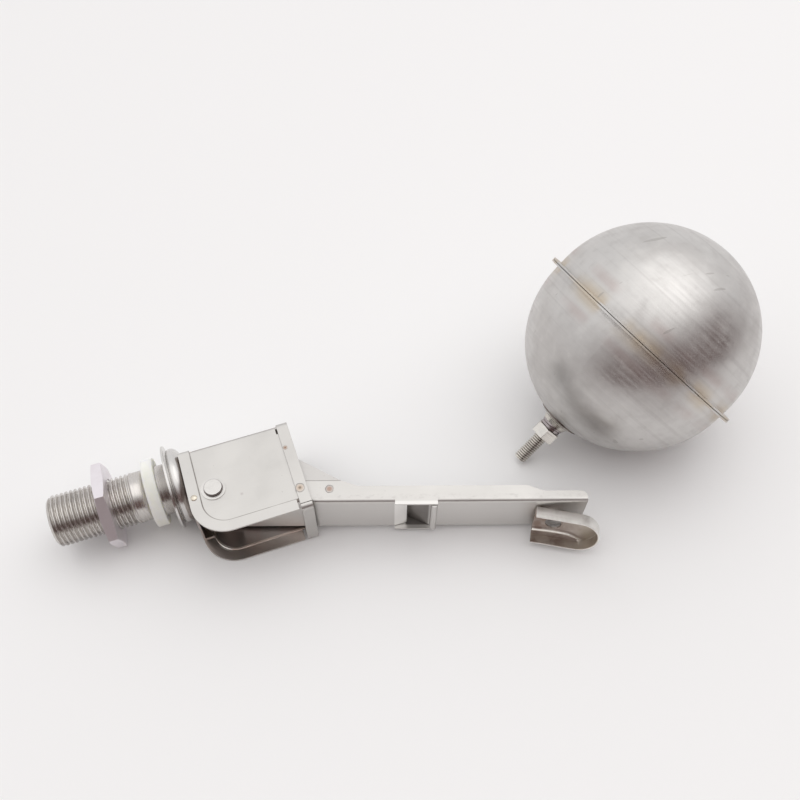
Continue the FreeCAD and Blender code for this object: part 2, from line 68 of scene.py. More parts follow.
# Sizes of the CAD that the frame does not give
arm_droop = math.radians(-18.7)
arm_web_y = -4.8 * MM
arm_half_width = 11.75 * MM
window_start = 71.0 * MM
tab_length = 4.8 * MM
tab_rise = 1.4 * MM
sheet_gauge = 0.8 * MM
shank_radius = 10.3 * MM
seat_plug_radius = 8.6 * MM
seat_spigot_radius = 4.25 * MM
clip_place = Vector((127.1, -6.5, -1.1)) * MM
clip_tilt = math.radians(-11.2)
clip_twist = math.radians(-11.6)
clip_half_height = 8.8 * MM
clip_straight = 17.5 * MM
clip_depth = 5.6 * MM
clip_hole_radius = mounts["stud_hole"]["dims"]["r_mm"] * MM
clip_hole_x = 7.8 * MM
stud_radius = mounts["float_stud"]["dims"]["r_mm"] * MM
washer_bore_radius = stud_radius + 0.05 * MM

# Spaces: the arm's, the clip's, the pivot pin's and the float's, the last two with X along their axes
on_arm = Matrix.Translation(pivot) @ lying @ Matrix.Rotation(arm_droop, 4, "Z")
on_clip = (on_arm @ Matrix.Translation(clip_place) @ Matrix.Rotation(clip_tilt, 4, "Z")
           @ Matrix.Rotation(clip_twist, 4, "X"))
on_pin = Matrix.Translation(pivot) @ lying @ Matrix.Rotation(-math.pi / 2, 4, "Y")
on_float = Matrix.Translation(ball_centre) @ stud_axis.to_track_quat("X", "Z").to_matrix().to_4x4()

# Spot welds: two on each side of the end frame, in valve space, and one on each flange, in the arm's space
upper_weld = Vector((95.3, -5.8, 15.1)) * MM
lower_weld = Vector((96.0, -25.0, 15.1)) * MM
arm_weld = Vector((45.1, 0.9, 11.75)) * MM


# Shader building blocks

class Shader:
    """A metal or rubber finish: one Principled shader, and the few nodes that vary it over the surface."""

    def __init__(self, name, colour, roughness, metallic=1.0):
        self.material = bpy.data.materials.new(name)
        self.material.use_nodes = True
        self.tree = self.material.node_tree
        self.surface = self.tree.nodes["Principled BSDF"]
        self.surface.inputs["Base Color"].default_value = (*colour, 1)
        self.surface.inputs["Roughness"].default_value = roughness
        self.surface.inputs["Metallic"].default_value = metallic
        self.place = self.node("ShaderNodeTexCoord").outputs["Object"]
        self.height = None

    def node(self, kind, **settings):
        made = self.tree.nodes.new(kind)
        for key, value in settings.items():
            setattr(made, key, value)
        return made

    def link(self, source, target):
        self.tree.links.new(source, target)

    def math(self, operation, *values, clamp=False):
        made = self.node("ShaderNodeMath", operation=operation, use_clamp=clamp)
        for socket, value in zip(made.inputs, values):
            if isinstance(value, (int, float)):
                socket.default_value = value
            else:
                self.link(value, socket)
        return made.outputs[0]

    def times(self, *masks):
        """The product of the masks: 1 where every one of them is."""
        product = masks[0]
        for mask in masks[1:]:
            product = self.math("MULTIPLY", product, mask)
        return product

    def either_way(self, value):
        """How far a value is from 0."""
        return self.math("ABSOLUTE", value)

    def local(self, matrix):
        """The surface point in the space whose origin and axes are those of matrix."""
        inverse = matrix.inverted()
        made = self.node("ShaderNodeMapping")
        made.inputs["Location"].default_value = inverse.to_translation()
        made.inputs["Rotation"].default_value = inverse.to_euler()
        self.link(self.place, made.inputs["Vector"])
        return made.outputs[0]

    def split(self, vector):
        made = self.node("ShaderNodeSeparateXYZ")
        self.link(vector, made.inputs[0])
        return made.outputs

    def join(self, *values):
        made = self.node("ShaderNodeCombineXYZ")
        for socket, value in zip(made.inputs, values):
            self.link(value, socket)
        return made.outputs[0]

    def noise(self, per_metre, vector=None, stretch=(1, 1, 1), detail=3.0, rough=0.5):
        """Noise from 0 to 1 with per_metre lumps in a metre, fewer along an axis whose stretch is below 1."""
        scaled = self.node("ShaderNodeMapping")
        scaled.inputs["Scale"].default_value = stretch
        self.link(vector or self.place, scaled.inputs["Vector"])
        made = self.node("ShaderNodeTexNoise")
        made.inputs["Scale"].default_value = per_metre
        made.inputs["Detail"].default_value = detail
        made.inputs["Roughness"].default_value = rough
        self.link(scaled.outputs[0], made.inputs["Vector"])
        return made.outputs["Fac"]

    def ranged(self, value, low, high, out_low=0.0, out_high=1.0):
        """value taken smoothly from low..high to out_low..out_high, and held there."""
        made = self.node("ShaderNodeMapRange", interpolation_type="SMOOTHSTEP")
        for socket, number in zip(made.inputs[1:5], (low, high, out_low, out_high)):
            socket.default_value = number
        self.link(value, made.inputs[0])
        return made.outputs[0]

    def falling(self, value, low, high):
        """1 up to low, falling smoothly to 0 at high."""
        return self.ranged(value, low, high, 1.0, 0.0)

    def band(self, value, low, high, soft_low, soft_high):
        """1 between two values: it rises over soft_low from low, and falls over soft_high up to high."""
        rising = self.ranged(value, low, low + soft_low)
        return self.times(rising, self.falling(value, high - soft_high, high))

    def tint(self, mask, colour, amount=1.0):
        """Mixes a colour into the base colour where mask is 1."""
        mix = self.node("ShaderNodeMix", data_type="RGBA")
        base = self.surface.inputs["Base Color"]
        if base.is_linked:
            self.link(base.links[0].from_socket, mix.inputs[6])
        else:
            mix.inputs[6].default_value = base.default_value
        mix.inputs[7].default_value = (*colour, 1)
        self.link(self.math("MULTIPLY", mask, amount), mix.inputs[0])
        self.link(mix.outputs[2], base)

    def rougher(self, mask, amount):
        """Adds amount to the roughness where mask is 1."""
        socket = self.surface.inputs["Roughness"]
        base = socket.links[0].from_socket if socket.is_linked else socket.default_value
        self.link(self.math("ADD", base, self.math("MULTIPLY", mask, amount), clamp=True), socket)

    def bump(self, height, depth):
        """Raises the surface by depth metres where height is 1."""
        made = self.node("ShaderNodeBump")
        made.inputs["Strength"].default_value = 1.0
        made.inputs["Distance"].default_value = depth
        self.link(height, made.inputs["Height"])
        if self.height:
            self.link(self.height, made.inputs["Normal"])
        self.height = made.outputs[0]
        self.link(self.height, self.surface.inputs["Normal"])

    def spot(self, vector, centre, inner, outer):
        """1 within inner of a point, falling to 0 at outer."""
        away = self.node("ShaderNodeVectorMath", operation="DISTANCE")
        self.link(vector, away.inputs[0])
        away.inputs[1].default_value = centre
        return self.falling(away.outputs["Value"], inner, outer)


# Finishes

def cloudy(shader, light, dark, per_metre=45, amount=0.8):
    """Slow uneven patches of a lighter and a darker tone, as on handled sheet metal."""
    patches = shader.noise(per_metre, detail=4)
    shader.tint(shader.ranged(patches, 0.5, 0.72), light, amount)
    shader.tint(shader.ranged(patches, 0.5, 0.3), dark, amount)


def grained(shader, vector, stretch, depth=0.8e-6, per_metre=2600, rough=0.09):
    """Fine parallel rolling or brushing marks, long along the axes whose stretch is small."""
    marks = shader.noise(per_metre, vector, stretch, detail=2)
    shader.bump(marks, depth)
    shader.rougher(shader.ranged(marks, 0.3, 0.7, -0.5, 0.5), rough)


def specked(shader):
    """Sparse small dark specks and handling marks."""
    specks = shader.ranged(shader.noise(700, detail=1), 0.76, 0.79)
    shader.tint(specks, (0.3, 0.27, 0.25), 0.3)


def sheet_steel(name, colour, roughness, space=lying, stretch=(0.03, 1, 1)):
    """Rolled sheet, its grain along the axes of space whose stretch is small."""
    shader = Shader(name, colour, roughness)
    cloudy(shader, [c * 1.07 for c in colour], [c * 0.9 for c in colour])
    local = shader.local(space)
    grained(shader, local, stretch, depth=0.5e-6, rough=0.05)
    specked(shader)
    return shader, local


def housing_steel():
    """Satin outside; inside, shinier, and painted dark as shade where only the mouth lets light in, browner in
    patches.
    """
    shader, local = sheet_steel("housing_steel", (0.575, 0.56, 0.54), 0.38)
    x, y, z = shader.split(local)
    inner_side, inner_back = 14.15 * MM, 5.4 * MM
    inside = shader.times(shader.math("LESS_THAN", shader.either_way(z), inner_side),
                          shader.math("LESS_THAN", y, inner_back))
    outside = shader.math("SUBTRACT", 1.0, inside)
    # Painted shade inside the housing, browner in patches; the inside is also made shinier
    shade_patches = shader.ranged(shader.noise(70, detail=4), 0.45, 0.65)
    shader.tint(inside, (0.4, 0.37, 0.355), 0.9)
    shader.tint(shader.times(inside, shade_patches), (0.4, 0.31, 0.28), 0.6)
    shader.rougher(inside, -0.08)

    # The pressed step runs down beside the inlet, round a corner and along the mouth. away is the distance
    # from it into the border. Its outside carries a broken line of painted shade, and its inside a painted
    # highlight, brightest as a painted glint at the bend
    corner = Vector((58.4, -29.1)) * MM
    radius = 9.4 * MM
    across = shader.math("SUBTRACT", corner.x + radius, x)
    down = shader.math("SUBTRACT", corner.y + radius, y)
    squares = [shader.math("POWER", shader.math("MAXIMUM", side, 0.0), 2.0) for side in (across, down)]
    from_centre = shader.math("SQRT", shader.math("ADD", *squares))
    beyond = shader.math("MINIMUM", shader.math("MAXIMUM", across, down), 0.0)
    away = shader.math("SUBTRACT", shader.math("ADD", from_centre, beyond), radius)
    from_step = shader.either_way(away)
    broken = shader.ranged(shader.noise(160, detail=2), 0.3, 0.6, 0.6, 1.0)
    # Painted shade in a broken line along the outside of the step
    step_shade_line = shader.times(shader.falling(from_step, 0.1 * MM, 0.34 * MM), outside, broken)
    shader.tint(step_shade_line, (0.2, 0.18, 0.165), 0.8)
    # Painted reflection: inside, the border is lighter than the painted shade next to it
    border = shader.times(shader.ranged(away, 0.1 * MM, 0.5 * MM), inside)
    shader.tint(border, (0.56, 0.5, 0.46), 0.55)
    edge_shift = 0.35 * MM
    from_edge = shader.either_way(shader.math("ADD", away, edge_shift))
    # Painted highlight along the inside of the step, in broken lengths
    rub_marks_and_highlight = shader.times(shader.falling(from_edge, 0.2 * MM, 0.6 * MM), inside, broken)
    shader.tint(rub_marks_and_highlight, (0.95, 0.84, 0.76), 0.85)
    bend = Vector((61.4, -26.3, -13.5)) * MM
    glint = shader.times(shader.spot(local, bend, 1.2 * MM, 4.2 * MM),
                         shader.falling(from_step, 0.5 * MM, 1.1 * MM), inside)
    shader.tint(glint, (0.98, 0.96, 0.93), 0.9)

    smudge = Vector((74.0, -19.8, 14.3)) * MM
    shader.tint(shader.spot(local, smudge, 0.1 * MM, 0.9 * MM), (0.36, 0.31, 0.31), 0.45)
    return shader.material


def strip_steel():
    """The end frame's strip, with two heat-tinted spot welds on each side."""
    shader, local = sheet_steel("strip_steel", (0.57, 0.555, 0.535), 0.36, stretch=(1, 0.03, 0.03))
    for centre, size, colour in ((upper_weld, 1.2, (0.4, 0.27, 0.2)), (lower_weld, 2.3, (0.5, 0.4, 0.32))):
        pit_colour = [c * 0.4 for c in colour]
        for side in (-1, 1):
            place = Vector((centre.x, centre.y, side * centre.z))
            shader.tint(shader.spot(local, place, 0.3 * size * MM, size * MM), colour, 0.8)
            shader.tint(shader.spot(local, place, 0.15 * size * MM, 0.35 * size * MM), pit_colour, 0.8)
    return shader.material


def arm_steel():
    """Brushed, with rub marks on its folds and heat marks round the welds; painted light on the web's outer face,
    painted shade in its window, round the stud hole and behind the web, and a painted highlight on its tab.
    """
    shader, local = sheet_steel("arm_steel", (0.58, 0.565, 0.545), 0.38, on_arm, (0.02, 1, 1))
    x, y, z = shader.split(local)
    from_middle = shader.either_way(z)

    outer = shader.math("GREATER_THAN", from_middle, arm_half_width - 0.3 * MM)
    fold = shader.band(y, -4.2 * MM, -0.8 * MM, 1.0 * MM, 1.4 * MM)
    rub_marks_and_highlight = shader.ranged(shader.noise(650, local, (0.6, 1, 1), detail=5, rough=0.7), 0.46, 0.7)
    shader.tint(shader.times(outer, fold, rub_marks_and_highlight), (0.36, 0.34, 0.33), 0.35)
    # Painted light: the web's outer face is made lighter
    lit_web_face = shader.falling(y, arm_web_y + 0.2 * MM, arm_web_y + 0.4 * MM)
    shader.tint(lit_web_face, (0.7, 0.685, 0.665), 0.9)

    between_flanges = shader.math("LESS_THAN", from_middle, arm_half_width - 0.45 * MM)
    # Painted shade in the window, inside the channel behind the web, with lighter streaks in it
    window_shade = shader.times(shader.band(x, 75.2 * MM, 86.4 * MM, 0.4 * MM, 0.4 * MM),
                          shader.ranged(y, arm_web_y + 0.3 * MM, arm_web_y + 0.7 * MM), between_flanges)
    window_shade_streaks = shader.ranged(shader.noise(110, local, (1, 1, 0.5), detail=1), 0.35, 0.7)
    shader.tint(window_shade, (0.2, 0.185, 0.175), 0.95)
    shader.tint(shader.times(window_shade, window_shade_streaks), (0.36, 0.335, 0.32), 0.6)

    # Painted highlight on the tab's outward face only: it slopes inwards from the window's start
    on_tab = shader.band(x, window_start - 0.4 * MM, window_start + 5.1 * MM, 0.4 * MM, 0.2 * MM)
    inwards = shader.math("MULTIPLY", shader.math("SUBTRACT", x, window_start), tab_rise / tab_length)
    outward_face = shader.math("LESS_THAN", shader.math("SUBTRACT", y, inwards), arm_web_y + 0.4 * MM)
    tab_width = shader.math("LESS_THAN", from_middle, arm_half_width - 1.05 * MM)
    shader.tint(shader.times(on_tab, outward_face, tab_width), (0.95, 0.94, 0.92), 0.9)

    hole = on_arm.inverted() @ on_clip @ Vector((clip_hole_x, 0, 0))
    # Painted shade round the stud hole, and darker painted shade inside the channel behind the web around it
    shader.tint(shader.spot(local, hole, 3.5 * MM, 8 * MM), (0.2, 0.14, 0.11), 0.85)
    behind_web = shader.times(between_flanges, shader.math("GREATER_THAN", y, arm_web_y + 0.4 * MM))
    shader.tint(shader.times(behind_web, shader.spot(local, hole, 10 * MM, 17 * MM)), (0.14, 0.1, 0.08), 0.9)
    for side in (-1, 1):
        weld = Vector((arm_weld.x, arm_weld.y, side * arm_weld.z))
        shader.tint(shader.spot(local, weld, 0.5 * MM, 1.9 * MM), (0.33, 0.21, 0.16), 0.8)
    return shader.material


def lever_steel():
    """Like the arm, with painted shade where its flange comes out from under the arm's."""
    shader, local = sheet_steel("lever_steel", (0.54, 0.525, 0.51), 0.38, on_arm, (0.02, 1, 1))
    y = shader.split(local)["Y"]
    # Painted shade along the line where the flange comes out from under the arm's
    seam = shader.times(shader.falling(y, 4.9 * MM, 5.3 * MM), shader.math("GREATER_THAN", y, 4.0 * MM))
    shader.tint(seam, (0.22, 0.2, 0.19), 0.8)
    return shader.material


def clip_steel():
    """Bright on its outer wall, with press marks along it. Its inside is painted dark as shade, browner in patches
    that are partly weld burn and partly painted shade, lighter towards the nose as painted light, and the ridge's
    crest carries a painted highlight.
    """
    shader = Shader("clip_steel", (0.86, 0.845, 0.815), 0.44)
    local = shader.local(on_clip)
    cloudy(shader, (0.9, 0.88, 0.85), (0.7, 0.68, 0.65), 200, 0.6)
    grained(shader, local, (0.3, 1, 1))
    x, y, z = shader.split(local)
    past_straight = shader.math("MAXIMUM", shader.math("SUBTRACT", x, clip_straight), 0.0)
    squares = [shader.math("POWER", side, 2.0) for side in (past_straight, shader.either_way(z))]
    from_middle = shader.math("SQRT", shader.math("ADD", *squares))
    inner_wall = clip_half_height - sheet_gauge
    within = shader.falling(from_middle, inner_wall, inner_wall + 0.5 * sheet_gauge)
    outer_face = shader.math("SUBTRACT", 1.0, within)
    # Painted shade over the tray's inside
    shader.tint(within, (0.46, 0.4, 0.35), 0.85)
    # Browner patches, deepest towards the arm: partly weld burn, partly painted shade
    burn_and_shade = shader.ranged(shader.noise(140, detail=4), 0.42, 0.62)
    towards_arm = shader.ranged(x, 6 * MM, 18 * MM, 1.0, 0.25)
    shader.tint(shader.times(within, towards_arm, burn_and_shade), (0.24, 0.17, 0.14), 0.8)
    # Painted light: the inside is lighter towards the nose
    shader.tint(shader.times(within, shader.ranged(x, 17 * MM, 22 * MM)), (0.55, 0.5, 0.42), 0.5)

    # A wave texture of scale 1 repeats every pi / 10
    press_mark_pitch = 0.5 * MM
    marks = shader.node("ShaderNodeTexWave", wave_type="BANDS", bands_direction="X")
    marks.inputs["Scale"].default_value = math.pi / (10 * press_mark_pitch)
    shader.link(local, marks.inputs["Vector"])
    near_edge = shader.falling(y, -clip_depth + 1.6 * MM, -clip_depth + 2.6 * MM)
    marked = shader.times(marks.outputs["Fac"], near_edge, shader.falling(x, 12 * MM, 16 * MM))
    shader.tint(shader.times(marked, outer_face), (0.35, 0.31, 0.28), 0.35)
    shader.bump(marked, -1e-5)
    height = shader.math("MULTIPLY", y, -1.0)
    # Painted highlight along the ridge's crest
    crest = shader.times(shader.ranged(height, 1.35 * MM, 1.75 * MM),
                         shader.falling(from_middle, 7.2 * MM, 7.7 * MM))
    shader.tint(crest, (0.93, 0.91, 0.86), 0.85)
    return shader.material


def drum_steel():
    """Spun and polished, with rings about the pipe axis."""
    shader = Shader("drum_steel", (0.66, 0.645, 0.63), 0.22)
    grained(shader, shader.place, (1, 0.02, 0.02), 1.5e-6, 1500, 0.08)
    cloudy(shader, (0.7, 0.69, 0.67), (0.54, 0.52, 0.51), 70, 0.6)
    return shader.material


def turned_steel(name, colour, roughness, matrix, shade_rings=(), thread=None):
    """Fine lathe marks round the axis X of matrix.

    Each ring given is the (radius, half width) of a ring of painted shade where a joint lies, and thread is
    the (crest radius, tip) of a thread whose grooves are painted dark as shade."""
    shader = Shader(name, colour, roughness)
    x, y, z = shader.split(shader.local(matrix))
    squeezed = [shader.math("MULTIPLY", side, 0.02) for side in (y, z)]
    marks = shader.noise(1700, shader.join(x, *squeezed))
    shader.bump(marks, 3e-6)
    shader.rougher(shader.ranged(marks, 0.3, 0.7, -0.5, 0.5), 0.14)
    cloudy(shader, [c * 1.08 for c in colour], [c * 0.82 for c in colour], 120, 0.6)
    out = shader.math("SQRT", shader.math("ADD", *[shader.math("POWER", side, 2.0) for side in (y, z)]))
    for radius, half_width in shade_rings:
        gap = shader.either_way(shader.math("SUBTRACT", out, radius))
        # Painted shade where a joint lies
        shader.tint(shader.falling(gap, 0.5 * half_width, half_width), (0.12, 0.09, 0.085), 0.85)
    if thread:
        crest, tip = thread
        # Painted shade in the thread's grooves
        groove = shader.times(shader.falling(out, crest - 0.5 * MM, crest - 0.12 * MM),
                              shader.math("LESS_THAN", x, tip - 0.4 * MM))
        shader.tint(groove, (0.24, 0.21, 0.19), 0.55)
    return shader.material


def nut_metal():
    """Pale and frosty, with the fine tooth of a blasted casting."""
    shader = Shader("nut_metal", (0.82, 0.78, 0.81), 0.4)
    tooth = shader.noise(5200, detail=2)
    shader.bump(tooth, 6e-6)
    cloudy(shader, (0.85, 0.82, 0.845), (0.76, 0.71, 0.74), 110, 0.7)
    return shader.material


def ball_steel():
    """Drawn stainless: brushed round the stud's axis, dulled in patches, and heat tinted beside the seam."""
    shader = Shader("ball_steel", (0.61, 0.595, 0.58), 0.38)
    along, y, z = shader.split(shader.local(on_float))
    metres_per_radian = 0.006
    turned = shader.math("MULTIPLY", shader.math("ARCTAN2", y, z), metres_per_radian)
    round_ball = shader.join(along, turned, turned)
    dents = shader.noise(22, detail=1)
    shader.bump(dents, 0.5e-4)
    marks = shader.noise(900, round_ball, (1, 0.25, 0.25), detail=4)
    shader.bump(marks, 2.0e-6)
    shader.rougher(shader.ranged(marks, 0.3, 0.7, -0.5, 0.5), 0.12)
    lines = shader.noise(520, round_ball, (1, 0.06, 0.06), detail=3)
    shader.tint(shader.ranged(lines, 0.54, 0.68), (0.42, 0.4, 0.39), 0.3)
    shader.bump(shader.noise(1500, detail=3), 2.5e-6)
    cloudy(shader, (0.66, 0.645, 0.63), (0.52, 0.5, 0.485), 26, 0.75)
    cloudy(shader, (0.68, 0.66, 0.64), (0.47, 0.45, 0.435), 210, 0.3)
    dull = shader.noise(60, detail=5, rough=0.65)
    shader.rougher(shader.ranged(dull, 0.45, 0.7), 0.14)
    from_seam = shader.either_way(along)
    patchy = shader.ranged(shader.noise(75, round_ball, (0.3, 3, 3), detail=3), 0.42, 0.6)
    straw = shader.times(shader.falling(from_seam, 1.0 * MM, 6.5 * MM), patchy)
    shader.tint(straw, (0.56, 0.46, 0.33), 0.6)
    purple = shader.times(shader.band(from_seam, 5.0 * MM, 12.0 * MM, 2.5 * MM, 4.0 * MM), patchy)
    shader.tint(purple, (0.5, 0.42, 0.4), 0.5)
    scratches = shader.noise(330, stretch=(0.12, 1, 0.5), detail=1)
    shader.tint(shader.ranged(scratches, 0.735, 0.75), (0.36, 0.34, 0.32), 0.45)
    return shader.material


def silicone():
    """Milky and faintly green, with a soft bloom."""
    shader = Shader("silicone", (0.86, 0.86, 0.79), 0.42, 0.0)
    shader.surface.inputs["Subsurface Weight"].default_value = 1.0
    shader.surface.inputs["Subsurface Radius"].default_value = (1.0, 1.0, 0.8)
    shader.surface.inputs["Subsurface Scale"].default_value = 4 * MM
    cloudy(shader, (0.88, 0.88, 0.82), (0.8, 0.81, 0.73), 130, 0.8)
    shader.bump(shader.noise(900, detail=3), 1.2e-5)
    return shader.material


def brass():
    """Turned, with browner patches."""
    shader = Shader("brass", (0.72, 0.53, 0.26), 0.3)
    cloudy(shader, (0.76, 0.58, 0.3), (0.52, 0.36, 0.18), 150, 0.7)
    grained(shader, shader.place, (1, 0.05, 0.05))
    return shader.material


def nitrile():
    """Black rubber."""
    shader = Shader("nitrile", (0.03, 0.03, 0.03), 0.6, 0.0)
    cloudy(shader, (0.05, 0.05, 0.05), (0.02, 0.02, 0.02), 300, 0.8)
    shader.bump(shader.noise(3000, detail=2), 1e-5)
    return shader.material


# Mesh building

def reach_along_stud(node):
    """How far a node reaches along the stud's axis, from the ball's centre."""
    along = [(vertex.co - ball_centre).dot(stud_axis) for vertex in nodes[node].data.vertices]
    return min(along), max(along)


def new_piece(name, vertices, faces, material, body):
    """A smooth-shaded piece that moves with a body of the part."""
    mesh = bpy.data.meshes.new(name)
    mesh.from_pydata(vertices, [], faces)
    outward = bmesh.new()
    outward.from_mesh(mesh)
    bmesh.ops.recalc_face_normals(outward, faces=outward.faces)
    outward.to_mesh(mesh)
    outward.free()
    mesh.materials.append(material)
    mesh.shade_smooth()
    piece = bpy.data.objects.new(name, mesh)
    bpy.context.scene.collection.objects.link(piece)
    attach(piece, body)
    return piece


def lathe(rings, sides, place, closed):
    """Vertices and faces of a turned solid about X: each ring is (x, radius), its radius a number or a
    function of the angle. The last ring joins the first if closed, and otherwise the ends are capped."""
    vertices, faces = [], []
    for x, radius in rings:
        for side in range(sides):
            angle = 2 * math.pi * side / sides
            r = radius(angle) if callable(radius) else radius
            vertices.append(place @ Vector((x, r * math.cos(angle), r * math.sin(angle))))
    count = len(rings)
    for ring in range(count if closed else count - 1):
        a, b = ring * sides, (ring + 1) % count * sides
        for side in range(sides):
            after = (side + 1) % sides
            faces.append((a + side, a + after, b + after, b + side))
    if not closed:
        faces.append(tuple(reversed(range(sides))))
        faces.append(tuple(range((count - 1) * sides, count * sides)))
    return vertices, faces


def thread_radius(x, major, depth, pitch, end):
    """The radius at x as a function of the angle, for a thread that fades out over its last pitch, up to end.

    Of each pitch, crest_share is the flat crest, flank_share the two flanks, and the rest the flat root."""
    crest_share, flank_share = 0.2, 0.7
    fade = min(1.0, max(0.0, (end - x) / pitch))

    def radius(angle):
        phase = (x / pitch - angle / (2 * math.pi)) % 1.0
        groove = min(1.0, max(0.0, (1 - abs(2 * phase - 1) - crest_share) / flank_share))
        return major - depth * groove * fade
    return radius


def threaded_pipe(material):
    """The inlet pipe with its G1/2 thread, a chamfered mouth and a counterbore for the seat."""
    major = mounts["inlet_thread"]["dims"]["r_mm"] * MM
    bore = mounts["inlet_bore"]["dims"]["r_mm"] * MM
    shoulder = mounts["inlet_bore"]["dims"]["length_mm"] * MM
    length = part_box("inlet_pipe")[1].x
    thread_end = mounts["inlet_thread"]["dims"]["length_mm"] * MM
    pitch, depth, steps_per_pitch = 1.814 * MM, 1.16 * MM, 15
    chamfer, runout, edge, mouth = 1.3 * MM, 0.25 * MM, 0.3 * MM, 0.4 * MM
    rings = []
    count = round(thread_end / pitch * steps_per_pitch)
    for step in range(count + 1):
        x = thread_end * step / count
        limit = major - max(0.0, chamfer - x)
        radius = thread_radius(x, major, depth, pitch, thread_end)
        rings.append((x, lambda angle, radius=radius, limit=limit: min(radius(angle), limit)))
    rings += [(thread_end + runout, shank_radius), (length - edge, shank_radius),
              (length, shank_radius - edge), (length, seat_plug_radius), (shoulder, seat_plug_radius),
              (shoulder, bore), (mouth, bore), (0.0, bore + mouth)]
    vertices, faces = lathe(rings, 144, Matrix.Identity(4), True)
    piece = new_piece("threaded_pipe", vertices, faces, material, "valve_body")
    piece.data.set_sharp_from_angle(angle=math.radians(50))
    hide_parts("inlet_pipe")


def spun_drum(material):
    """The drum between the flange and the housing: a barrel that narrows to the end wall."""
    front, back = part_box("body_cap")[0].x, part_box("body_cap")[1].x
    pipe_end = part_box("inlet_pipe")[1].x
    neck_radius = 12.6 * MM
    barrel = ((0.0, 14.9), (0.3, 15.2), (0.8, 15.45), (1.5, 15.55), (2.3, 15.45), (3.1, 15.1), (3.8, 14.5),
              (4.4, 13.7), (4.7, 13.1))
    rings = [(front + along * MM, radius * MM) for along, radius in barrel]
    rings += [(back, neck_radius), (back, seat_spigot_radius), (pipe_end, seat_spigot_radius),
              (pipe_end, shank_radius), (front, shank_radius)]
    vertices, faces = lathe(rings, 144, Matrix.Identity(4), True)
    piece = new_piece("spun_drum", vertices, faces, material, "valve_body")
    piece.data.set_sharp_from_angle(angle=math.radians(50))
    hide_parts("body_cap")


def threaded_stud(material):
    """The float's M6 stud, threaded to its tip from where the washer sits."""
    root, tip = reach_along_stud("float_stud")
    pitch, depth, point, steps_per_pitch = 1.0 * MM, 0.56 * MM, 0.8 * MM, 12
    thread_start = reach_along_stud("flat_washer")[0]
    rings = [(root, stud_radius)]
    count = round((tip - thread_start) / pitch * steps_per_pitch)
    for step in range(count + 1):
        x = thread_start + (tip - thread_start) * step / count
        limit = stud_radius - max(0.0, x - (tip - point))
        radius = thread_radius(x, stud_radius, depth, pitch, tip + pitch)
        rings.append((x, lambda angle, radius=radius, limit=limit: min(radius(angle), limit)))
    vertices, faces = lathe(rings, 72, on_float, False)
    piece = new_piece("threaded_stud", vertices, faces, material, "float")
    piece.data.set_sharp_from_angle(angle=math.radians(60))
    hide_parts("float_stud")


def spot_weld(name, centre, radius, pit_radius, material, body, place):
    """A shallow raised ring with a pit in it, on a surface facing the Z axis of place."""
    rise, sunk, pit_floor = 0.022 * MM, 0.1 * MM, 0.008 * MM

    def uneven(size):
        return lambda angle: size * (1 + 0.05 * math.sin(2 * angle + size / MM) + 0.03 * math.sin(5 * angle))

    turn = place @ Matrix.Translation(centre) @ Matrix.Rotation(-math.pi / 2, 4, "Y")
    rings = [(-sunk, uneven(radius)), (0.0, uneven(radius)), (rise, uneven(radius * 0.72)),
             (rise * 0.9, uneven(pit_radius * 1.2)), (pit_floor, uneven(pit_radius * 0.7)),
             (0.005 * MM, pit_radius * 0.2)]
    vertices, faces = lathe(rings, 40, turn, False)
    new_piece(name, vertices, faces, material, body)


def both_sides(centre, name, size, pit_size, material, body, place):
    """The same spot weld on both outer faces of a part that is symmetric about its middle plane."""
    spot_weld(name + "_near", centre, size, pit_size, material, body, place)
    turned = place @ Matrix.Rotation(math.pi, 4, "X")
    opposite = Vector((centre.x, -centre.y, centre.z))
    spot_weld(name + "_far", opposite, size, pit_size, material, body, turned)


def seam_weld(material):
    """The bead that seals the ball's two lips, a little uneven along its length."""
    inner, outer, half = 45.5 * MM, 48.2 * MM, 0.15 * MM

    def bead(share):
        """The bead's radius as a function of the angle, share of its uneven height past outer."""

        def radius(angle):
            ripple = 0.25 * math.sin(157 * angle) + 0.15 * math.sin(83 * angle + 1)
            ripple += 0.1 * math.sin(31 * angle)
            return outer + share * (0.2 + 0.25 * (0.5 + ripple)) * MM
        return radius

    rings = [(-half, inner), (-half, bead(-0.3)), (-0.6 * half, bead(0.6)), (0.0, bead(1.0)),
             (0.6 * half, bead(0.6)), (half, bead(-0.3)), (half, inner)]
    vertices, faces = lathe(rings, 720, on_float, True)
    piece = new_piece("seam_weld", vertices, faces, material, "float")
    piece.data.set_sharp_from_angle(angle=math.radians(60))
    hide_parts("ball_seam")


def swept_faces(sides, steps):
    """The faces of a closed section of so many sides swept over so many steps, with both ends capped."""
    faces = [tuple(range(sides)), tuple(range(steps * sides, (steps + 1) * sides))]
    for step in range(steps):
        a, b = step * sides, (step + 1) * sides
        faces += [(a + i, a + (i + 1) % sides, b + (i + 1) % sides, b + i) for i in range(sides)]
    return faces


